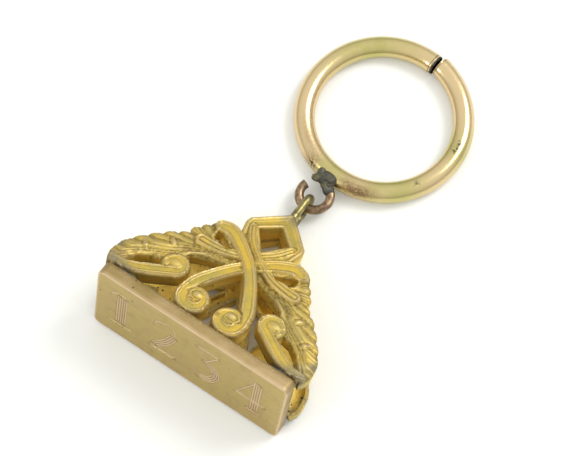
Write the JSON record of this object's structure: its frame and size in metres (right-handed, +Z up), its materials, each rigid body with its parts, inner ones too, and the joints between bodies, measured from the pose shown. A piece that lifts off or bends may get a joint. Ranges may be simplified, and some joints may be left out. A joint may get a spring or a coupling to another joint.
{
  "type": "watch fob seal",
  "caption": "Watch fob seal stamp: an oblong engraved stamp plate under an openwork scroll body, with an eye, an open link and a hollow split ring that swings on them.",
  "frame": {"origin": "bottom centre of the bounding box, on the table that the seal lies on", "axes": "+Z up from the table, -Y is the way the stamping face looks, +Y runs from the plate through the eye to the split ring, X runs along the plate"},
  "size_m": [0.0274, 0.0512, 0.0119],
  "materials": {
    "gilt_shell": "gilt, matt in the hollows and worn bright on the rims",
    "plate_gold": "brushed rolled gold, worn",
    "ring_gold": "polished rolled gold, lightly scratched",
    "link_copper": "worn, brown copper",
    "eye_brass": "greenish worn brass",
    "end_brass": "blackened brass",
    "solder": "dull grey solder"
  },
  "bodies": {
    "seal": {"stamp_plate": "plate_gold", "front_shell": "gilt_shell", "back_shell": "gilt_shell", "solder_front_left": "solder", "solder_front_right": "solder", "solder_back_left": "solder", "solder_back_right": "solder", "eye_loop": "eye_brass", "eye_solder": "solder"},
    "ring": {"link_ring": "link_copper", "lug_solder": "solder", "ring_tube": "ring_gold", "ring_end_left": "end_brass", "ring_end_right": "end_brass"}
  },
  "joints": [
    {"name": "ring_swing", "type": "hinge", "parent": "seal", "child": "ring", "pos_m": [0, -0.0004, 0.00168], "axis": [1, 0, 0], "range_deg": [-128, 108]}
  ]
}
